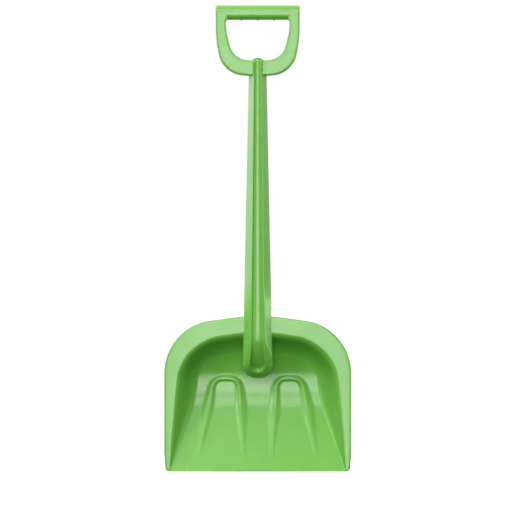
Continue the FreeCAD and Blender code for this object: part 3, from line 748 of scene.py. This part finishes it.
def shaft_section(station):
    """Points of half the section, from the groove's middle round to the hollow's middle."""
    middle, across, along, ridge, half, back, hollow = station
    in_nose = back is None and along != 0
    crossing_low, crossing_high = RIM_CROSSING
    out_of_scoop = smooth_step((middle - crossing_low) / (crossing_high - crossing_low))
    widest_at = WIDEST_IN_SCOOP + (SHAFT_BACK - WIDEST_IN_SCOOP) * out_of_scoop
    widest = half if in_nose else taper(SHAFT_HALF, middle)
    slope = (widest_at - SHAFT_FRONT) / (widest - ridge)
    reach = section_reach(ridge, groove_wall(along, in_nose), half)
    depth = section_front(reach, middle, across, along, ridge, slope, in_nose)
    if back is None:
        up = middle + along * reach
        base = np.maximum(plain_depth(across * reach, up) + FOOT_GAP, FOOT_SHALLOWEST)
    else:
        base = np.full(len(reach), back)
    depth = np.minimum(depth, base)
    points = list(zip(reach, depth))
    last = base[-1]
    rim = RIM_ROUND if hollow else EDGE_BREAK
    points[-1] = (half, min(depth[-1], last - rim))
    bend = rim * ARC_MIDDLE
    points += [(half, last - rim), (half - bend, last - bend), (half - rim, last)]
    if hollow:
        points += open_back(half, slope, widest_at, last)
    else:
        parts = np.linspace(BASE_START, 0, 7)
        points += list(zip(parts * half, np.interp(parts * half, reach, base)))
    return np.array([(across * out, deep, middle + along * out) for out, deep in points])


def shaft(material):
    """The ridged bar: half sections from its nose to its head, mirrored and closed."""
    right = np.array([shaft_section(station) for station in shaft_stations()])
    left = right[::-1] * [-1, 1, 1]
    grid = np.concatenate([right, left[1:-1]]).transpose(1, 0, 2)
    return finished("ridged_shaft", [skin("shell", grid)], material)


# ---- handle ---------------------------------------------------------------------------------

def handle_lines():
    """Half of the arms' and bow's outer line and of the hand hole's line, paired point to point."""
    arcs = {1: 14, 2: 16, 3: 12}
    runs = {1: 34, 2: 4, 3: 4, 4: 56}
    hole_half = HALF_HANDLE - ARM_WIDTH
    outer = rounded([(0, BOW_LOW, 0), (34, BOW_LOW + 4, 35), (53, BOW_LOW + 19.5, 37),
                     (HALF_HANDLE, BOW_LOW + 54.5, 190), (HALF_HANDLE, BAR_MIDDLE, 0)], arcs, runs)
    inner = rounded([(0, BOW_HIGH, 0), (24, BOW_HIGH + 2.8, 24), (37, BOW_HIGH + 12.8, 25),
                     (hole_half, BOW_HIGH + 44.5, 110), (hole_half, BAR_MIDDLE, 0)], arcs, runs)
    hump = BOW_HIGH + HUMP_RISE - HUMP_RADIUS
    rise = hump + np.sqrt(np.maximum(HUMP_RADIUS ** 2 - inner[:, 0] ** 2, 0))
    raised = soft_max(inner[:, 1], rise, HUMP_BLEND)
    on_bow = (inner[:, 1] < BOW_HIGH + HUMP_RISE) & (inner[:, 0] < HUMP_RADIUS)
    inner[:, 1] = np.where(on_bow, raised, inner[:, 1])
    fillet_low = BAR_MIDDLE - FILLET_AT * BAR_RADIUS - HOLE_FILLET
    near_bar = np.clip((inner[:, 1] - fillet_low) / HOLE_FILLET, 0, 1)
    inner[:, 0] -= FILLET_SHARE * HOLE_FILLET * near_bar ** 2
    return outer, inner


def arms_and_bow(sides=64):
    """The handle's U: flat faces and rounded edges, swept from one end of the bar to the other."""
    outer, inner = [np.vstack([line[::-1] * [-1, 1], line[1:]]) for line in handle_lines()]
    middle = (outer + inner) / 2
    reach = (outer - inner) / 2
    columns = []
    for turn in np.linspace(0, 2 * np.pi, sides, endpoint=False) + np.pi / sides:
        plan = middle + reach * squared(np.cos(turn), ARM_SQUARENESS)
        deep = HANDLE_MIDDLE + BAR_RADIUS * squared(np.sin(turn), ARM_SQUARENESS)
        columns.append(np.column_stack([plan[:, 0], np.full(len(plan), deep), plan[:, 1]]))
    grid = np.array(columns).transpose(1, 0, 2)
    caps = [np.repeat(grid[end].mean(axis=0)[None], sides, axis=0)[None] for end in (0, -1)]
    return skin("grip_handle", np.concatenate([caps[0], grid, caps[1]]))


def grip_bar(steps=240, sides=72):
    """The bar, a little squarer than round, with rounded ends and three finger ridges under it."""
    quarter = np.linspace(0, np.pi / 2, 7)
    ends = BAR_END_ROUND * (1 - np.cos(quarter))
    inset = BAR_END_ROUND * (1 - np.sin(quarter))
    straight = np.linspace(BAR_END_ROUND - HALF_HANDLE, HALF_HANDLE - BAR_END_ROUND, steps)[1:-1]
    along = np.concatenate([-HALF_HANDLE + ends, straight, (HALF_HANDLE - ends)[::-1]])
    radius = BAR_RADIUS - np.concatenate([inset, np.zeros(len(straight)), inset[::-1]])
    nearest = np.min([np.abs(along - spot * FINGER_PITCH) for spot in (-1, 0, 1)], axis=0)
    finger = np.sqrt(np.maximum(1 - (nearest / FINGER_HALF) ** 2, 0)) * FINGER_RISE
    turns = np.linspace(0, 2 * np.pi, sides, endpoint=False)
    rows = [np.array([(-HALF_HANDLE, HANDLE_MIDDLE, BAR_MIDDLE)] * sides)]
    for place, size, ridge in zip(along, radius, finger):
        depth = size * squared(np.sin(turns), BAR_SQUARENESS)
        height = size * squared(np.cos(turns), BAR_SQUARENESS)
        under = np.clip(1 - (depth / FINGER_REACH) ** 2, 0, 1) * (height < 0)
        rows.append(np.column_stack([
            np.full(sides, place), HANDLE_MIDDLE + depth, BAR_MIDDLE + height - ridge * under]))
    rows.append(np.array([(HALF_HANDLE, HANDLE_MIDDLE, BAR_MIDDLE)] * sides))
    return skin("grip_bar", np.array(rows))


def handle(material):
    """The D: arms and bow, grip bar, and the tongue that goes down into the shaft."""
    tongue = block(TONGUE_LOW, TONGUE_HIGH, TONGUE_ROUND)
    return finished("grip_handle", [arms_and_bow(), grip_bar(), tongue], material)


# ---- parts that repeat ----------------------------------------------------------------------

class Tree:
    """A Geometry Nodes tree being built, with named inputs."""

    def __init__(self, name):
        self.group = bpy.data.node_groups.new(name, "GeometryNodeTree")
        self.values = {}
        self.entry = self.group.nodes.new("NodeGroupInput")

    def size(self, name, value, kind="NodeSocketFloat"):
        """Adds a named input and gives its socket."""
        made = self.group.interface.new_socket(name, in_out="INPUT", socket_type=kind)
        self.values[made.identifier] = value
        return next(s for s in self.entry.outputs if s.identifier == made.identifier)

    def node(self, kind, settings=None, inputs=None, output=0):
        made = self.group.nodes.new(kind)
        for name, setting in (settings or {}).items():
            setattr(made, name, setting)
        for name, given in (inputs or {}).items():
            if isinstance(given, bpy.types.NodeSocket):
                self.group.links.new(given, made.inputs[name])
            else:
                made.inputs[name].default_value = given
        return made.outputs[output]

    def math(self, operation, *values):
        return self.node("ShaderNodeMath", {"operation": operation}, dict(enumerate(values)))

    def plain_mesh(self, name, geometry, material):
        """Runs the tree and keeps its result as an ordinary mesh."""
        real = self.node("GeometryNodeRealizeInstances", inputs={"Geometry": geometry})
        painted = self.node("GeometryNodeSetMaterial", inputs={"Geometry": real, "Material": material})
        self.group.interface.new_socket("Geometry", in_out="OUTPUT", socket_type="NodeSocketGeometry")
        leave = self.group.nodes.new("NodeGroupOutput")
        self.group.links.new(painted, leave.inputs[0])
        holder = bpy.data.objects.new(name, bpy.data.meshes.new(name))
        bpy.context.scene.collection.objects.link(holder)
        modifier = holder.modifiers.new("build", "NODES")
        modifier.node_group = self.group
        for identifier, value in self.values.items():
            modifier[identifier] = value
        evaluated = holder.evaluated_get(bpy.context.evaluated_depsgraph_get())
        mesh = bpy.data.meshes.new_from_object(evaluated)
        holder.modifiers.remove(modifier)
        bpy.data.objects.remove(holder)
        return mesh


def cross_webs(material):
    """Thin webs across the shaft's hollow, narrower towards the top and towards the front.

    The first two are wider, where the hollow's sides stand straight."""
    tree = Tree("cross_webs")
    count = tree.size("Web count", WEB_COUNT, "NodeSocketInt")
    pitch = tree.size("Pitch", WEB_PITCH * MM)
    first = tree.size("First web", FIRST_WEB * MM + ORIGIN[2])
    thickness = tree.size("Thickness", WEB_THICKNESS * MM)
    widest = tree.size("Width of first web", 2 * (taper(SHAFT_HALF, FIRST_WEB) - WEB_INSET) * MM)
    spread = tree.size("Extra width of first web", 2 * WEB_SPREAD * MM)
    step = tree.size("Narrowing per web", 2 * WEB_PITCH * (SHAFT_HALF[0] - SHAFT_HALF[1])
                     / (SHAFT_TOP - SHAFT_FOOT) * MM)
    depth = tree.size("Depth", (WEB_BACK - WEB_FRONT) * MM)
    middle = tree.size("Middle depth", (WEB_BACK + WEB_FRONT) / 2 * MM + ORIGIN[1])

    size = tree.node("ShaderNodeCombineXYZ", inputs={0: 1.0, 1: depth, 2: thickness})
    plate = tree.node("GeometryNodeMeshCube", inputs={
        "Size": size, "Vertices X": 12, "Vertices Y": 8, "Vertices Z": 3})
    place = tree.node("GeometryNodeInputPosition")
    parts = tree.node("ShaderNodeSeparateXYZ", inputs={0: place}).node.outputs
    share = tree.math("DIVIDE", parts[1], depth)
    lean = tree.math("MULTIPLY_ADD", share, WEB_LEAN, WEB_MIDDLE_SHARE)
    slanted = tree.node("ShaderNodeCombineXYZ", inputs={
        0: tree.math("MULTIPLY", parts[0], lean), 1: parts[1], 2: parts[2]})
    plate = tree.node("GeometryNodeSetPosition", inputs={"Geometry": plate, "Position": slanted})

    start = tree.node("ShaderNodeCombineXYZ", inputs={0: 0.0, 1: middle, 2: first})
    stride = tree.node("ShaderNodeCombineXYZ", inputs={0: 0.0, 1: 0.0, 2: pitch})
    line = tree.node("GeometryNodeMeshLine", {"mode": "OFFSET"}, {
        "Count": count, "Start Location": start, "Offset": stride})
    index = tree.node("GeometryNodeInputIndex")
    even = tree.math("SUBTRACT", widest, tree.math("MULTIPLY", index, step))
    less = tree.math("MULTIPLY", index, tree.math("MULTIPLY", spread, 0.5))
    extra = tree.math("MAXIMUM", 0.0, tree.math("SUBTRACT", spread, less))
    width = tree.math("ADD", even, extra)
    scale = tree.node("ShaderNodeCombineXYZ", inputs={0: width, 1: 1.0, 2: 1.0})
    row = tree.node("GeometryNodeInstanceOnPoints", inputs={
        "Points": line, "Instance": plate, "Scale": scale})
    return finished("cross_webs", [tree.plain_mesh("cross_webs", row, material)], material)


# ---- scene ----------------------------------------------------------------------------------

def aimed(thing, place, target):
    """Puts a camera or a light in the scene at a place, facing a target."""
    thing.location = place
    thing.rotation_mode = "QUATERNION"
    thing.rotation_quaternion = (Vector(target) - Vector(place)).to_track_quat("-Z", "Y")
    bpy.context.scene.collection.objects.link(thing)


def camera():
    """A long lens straight in front of the lower shaft; sizes are in metres."""
    distance = 4.0
    view_height = 0.7244
    aim_across = -0.0024
    aim_height = 0.3049
    lens = bpy.data.cameras.new("camera")
    lens.lens = lens.sensor_width * distance / view_height
    lens.clip_end = 50
    target = Vector((aim_across, ORIGIN[1], ORIGIN[2] + aim_height))
    stand = bpy.data.objects.new("camera", lens)
    aimed(stand, target - Vector((0, distance, 0)), target)
    bpy.context.scene.camera = stand


def soft_box(name, offset, width, height, power):
    """A soft light, placed by its offset in metres from the lower shaft, which it faces."""
    light = bpy.data.lights.new(name, "AREA")
    light.shape = "RECTANGLE"
    light.size = width
    light.size_y = height
    light.energy = power
    middle = Vector((0, 0, ORIGIN[2] + 0.25))
    aimed(bpy.data.objects.new(name, light), middle + Vector(offset), middle)


def soft_boxes():
    """Six lights: above, to the left and right, and in front."""
    soft_box("key_light", (-0.9, -2.0, 1.85), 2.2, 0.5, 7)
    soft_box("glint_light", (-2.1, -1.9, 1.3), 0.3, 0.6, 9)
    soft_box("upper_light", (-0.3, -3.4, 1.38), 1.6, 0.8, 22)
    soft_box("left_light", (-2.4, -2.3, 0.2), 0.8, 1.5, 10)
    soft_box("side_light", (3.0, 0.25, 0.35), 2.0, 2.0, 46)
    soft_box("front_light", (0, -4.3, -0.06), 1.1, 1.9, 56)


def room():
    """A white room that lights the shovel from above, the left and behind, and hardly from below."""
    world = bpy.data.worlds.new("studio")
    bpy.context.scene.world = world
    look = Finish(world)
    towards = look.node("TexCoord", output="Generated")
    leftwards = look.rising(look.along(towards, 0), 0.7, -0.8)
    upwards = look.rising(look.along(towards, 2), -0.35, 0.5)
    behind = look.rising(look.along(towards, 1), -0.05, 0.5)
    overhead = look.rising(look.along(towards, 2), 0.7, 0.97)
    bright = 0.02 + upwards * (0.42 + 0.85 * leftwards) + behind * (0.22 + 0.55 * leftwards) + overhead
    fill = look.node("Background", inputs={"Color": (1, 1, 1, 1), "Strength": bright})
    seen = look.node("Background", inputs={"Color": (1, 1, 1, 1), "Strength": 1.0})
    camera_sees = look.node("LightPath", output="Is Camera Ray")
    look.node("OutputWorld", inputs={
        "Surface": look.node("MixShader", inputs={0: camera_sees, 1: fill, 2: seen})})
    bpy.context.scene.view_settings.view_transform = "Standard"


def floor():
    """A wide floor just under the cutting edge; sizes are in metres."""
    reach = 12
    gap = 0.0005
    low = ORIGIN[2] - gap
    corners = [(-reach, -reach, low), (reach, -reach, low), (reach, reach, low), (-reach, reach, low)]
    mesh = bpy.data.meshes.new("floor")
    mesh.from_pydata(corners, [], [(0, 1, 2, 3)])
    mesh.materials.append(pale_floor())
    ground = bpy.data.objects.new("floor", mesh)
    bpy.context.scene.collection.objects.link(ground)
    ground.visible_diffuse = False
    ground.visible_glossy = False


camera()
soft_boxes()
room()
floor()
plastic = green_plastic()
steel = zinc_steel()

for piece, node in ((blade(plastic), "blade"), (shaft(plastic), "shaft"), (handle(plastic), "d_handle")):
    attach(piece, "root")
    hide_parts(node)

webs = cross_webs(plastic)
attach(webs, "root")
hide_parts("shaft")

for name in ("blade_screws", "handle_screws"):
    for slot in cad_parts[name].material_slots:
        slot.material = steel

bpy.context.view_layer.update()
